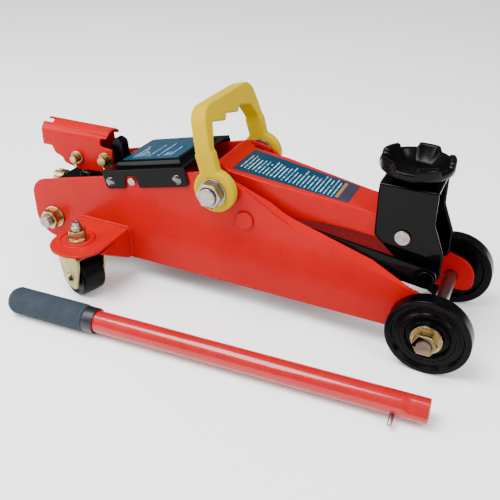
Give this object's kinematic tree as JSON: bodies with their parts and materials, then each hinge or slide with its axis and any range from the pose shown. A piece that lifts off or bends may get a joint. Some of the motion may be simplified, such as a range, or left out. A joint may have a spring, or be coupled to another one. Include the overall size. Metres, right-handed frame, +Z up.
{
  "type": "car jack",
  "caption": "Low hydraulic trolley car jack with a saddle lifting arm on a parallel linkage, swivel casters, a carrying bail, and a loose pump handle lying beside it.",
  "frame": {"origin": "on the floor, in the jack's middle plane, straight under the pivot shaft of the lifting arm", "axes": "+X forward along the jack to the saddle, +Y to the jack's left side, +Z up"},
  "size_m": [0.4637, 0.2598, 0.193],
  "materials": {
    "red_paint": "gloss red stoving paint on pressed steel",
    "black_paint": "gloss black paint on pressed steel",
    "black_casting": "black painted cast iron",
    "zinc": "yellowish zinc plating",
    "steel": "ground steel",
    "chrome_rod": "hard chromed rod",
    "nylon_wheel": "black nylon caster wheel",
    "yellow_plastic": "moulded yellow plastic",
    "label_blue": null,
    "grip_foam": "knurled dark slate rubber grip",
    "collar_black": "smooth black ring",
    "plug_rubber": "rubber filler plug"
  },
  "bodies": {
    "frame": {"side_plate_right": "red_paint", "side_plate_left": "red_paint", "caster_bracket_right": "red_paint", "caster_bracket_left": "red_paint", "front_axle": "zinc", "front_axle_spacers": "zinc", "front_axle_washers": "zinc", "front_axle_nuts": "zinc", "rear_tie_studs": "zinc", "rear_tie_washers": "zinc", "rear_tie_nuts": "zinc", "arm_pivot_shaft": "steel", "arm_pivot_washers": "zinc", "arm_pivot_nuts": "zinc", "link_pivot_bolts": "red_paint", "kingpins": "zinc", "kingpin_nuts": "zinc", "swivel_races": "zinc", "pump_block": "black_casting", "reservoir_tube": "black_paint", "ram_cylinder": "steel", "head_nut": "steel", "filler_plug": "plug_rubber", "reservoir_cradle": "black_paint", "cradle_screws": "zinc", "cover_plate": "black_paint", "cover_label": "label_blue", "socket_pivot_pin": "zinc", "socket_pivot_clips": "zinc"},
    "front_wheel_right": {"front_wheel_right": "black_paint"},
    "front_wheel_left": {"front_wheel_left": "black_paint"},
    "caster_fork_right": {"caster_fork_right": "zinc", "caster_axle_right": "zinc"},
    "caster_fork_left": {"caster_fork_left": "zinc", "caster_axle_left": "zinc"},
    "caster_wheel_right": {"caster_wheel_right": "nylon_wheel"},
    "caster_wheel_left": {"caster_wheel_left": "nylon_wheel"},
    "lift_arm": {"lift_arm": "red_paint", "arm_label": "label_blue", "crank_bar": "steel"},
    "saddle_bracket": {"saddle_bracket": "black_paint", "bracket_pin": "zinc"},
    "saddle": {"saddle": "black_casting"},
    "link_bars": {"link_bar_right": "black_paint", "link_bar_left": "black_paint", "link_pin": "zinc"},
    "ram": {"ram_rod": "chrome_rod", "ram_head": "steel"},
    "handle_socket": {"handle_socket": "red_paint", "plunger_pin": "zinc", "plunger_pin_clips": "zinc"},
    "pump_plunger": {"pump_plunger": "steel", "plunger_spring": "steel"},
    "release_valve": {"release_valve": "zinc"},
    "carry_bail": {"carry_bail": "yellow_plastic"},
    "loose_handle": {"handle_tube": "red_paint", "handle_grip": "grip_foam", "handle_collar": "collar_black", "handle_pin": "zinc"}
  },
  "joints": [
    {"name": "lift", "type": "hinge", "parent": "frame", "child": "lift_arm", "pos_m": [0, 0, 0.121], "axis": [0, -1, 0], "range_deg": [-10.6, 66]},
    {"name": "saddle_level", "type": "hinge", "parent": "lift_arm", "child": "saddle_bracket", "pos_m": [0.16003, 0, 0.09999], "axis": [0, -1, 0], "range_deg": [-66, 10.6]},
    {"name": "link_swing", "type": "hinge", "parent": "frame", "child": "link_bars", "pos_m": [0.0246, 0, 0.0938], "axis": [0, -1, 0], "range_deg": [-10.6, 66]},
    {"name": "ram_stroke", "type": "slide", "parent": "frame", "child": "ram", "axis": [1, 0, 0], "range_m": [-0.00868, 0.05355]},
    {"name": "saddle_turn", "type": "hinge", "parent": "saddle_bracket", "child": "saddle", "pos_m": [0.16003, 0, 0.15], "axis": [0, 0, 1], "continuous": true},
    {"name": "socket_pump", "type": "hinge", "parent": "frame", "child": "handle_socket", "pos_m": [-0.1434, 0, 0.1084], "axis": [0, 1, 0], "range_deg": [0, 60]},
    {"name": "plunger_stroke", "type": "slide", "parent": "frame", "child": "pump_plunger", "axis": [0, 0, 1], "range_m": [0, 0.03256], "deforming": ["plunger_spring"]},
    {"name": "release_turn", "type": "hinge", "parent": "frame", "child": "release_valve", "pos_m": [-0.22, 0.012, 0.064], "axis": [1, 0, 0], "range_deg": [0, 270]},
    {"name": "bail_swing", "type": "hinge", "parent": "frame", "child": "carry_bail", "pos_m": [0, 0, 0.121], "axis": [0, -1, 0], "range_deg": [-90, 44]},
    {"name": "front_wheel_right_roll", "type": "hinge", "parent": "frame", "child": "front_wheel_right", "pos_m": [0.1964, -0.055, 0.0353], "axis": [0, 1, 0], "continuous": true},
    {"name": "front_wheel_left_roll", "type": "hinge", "parent": "frame", "child": "front_wheel_left", "pos_m": [0.1964, 0.055, 0.0353], "axis": [0, 1, 0], "continuous": true},
    {"name": "caster_right_swivel", "type": "hinge", "parent": "frame", "child": "caster_fork_right", "pos_m": [-0.132, -0.081, 0.05], "axis": [0, 0, 1], "continuous": true},
    {"name": "caster_right_roll", "type": "hinge", "parent": "caster_fork_right", "child": "caster_wheel_right", "pos_m": [-0.13011, -0.08165, 0.02], "axis": [0.3256, 0.9455, 0], "continuous": true},
    {"name": "caster_left_swivel", "type": "hinge", "parent": "frame", "child": "caster_fork_left", "pos_m": [-0.132, 0.081, 0.05], "axis": [0, 0, 1], "continuous": true},
    {"name": "caster_left_roll", "type": "hinge", "parent": "caster_fork_left", "child": "caster_wheel_left", "pos_m": [-0.13012, 0.08168, 0.02], "axis": [-0.342, 0.9397, 0], "continuous": true},
    {"name": "handle_pick_up", "type": "slide", "parent": "frame", "child": "loose_handle", "axis": [0, 0, 1], "range_m": [0, 0.3]}
  ],
  "couplings": [
    {"joint": "saddle_level", "follows": "lift", "ratio": -1},
    {"joint": "link_swing", "follows": "lift", "ratio": 1},
    {"joint": "ram_stroke", "follows": "lift", "m_per_rad": 0.0464},
    {"joint": "plunger_stroke", "follows": "socket_pump", "m_per_rad": 0.031}
  ]
}
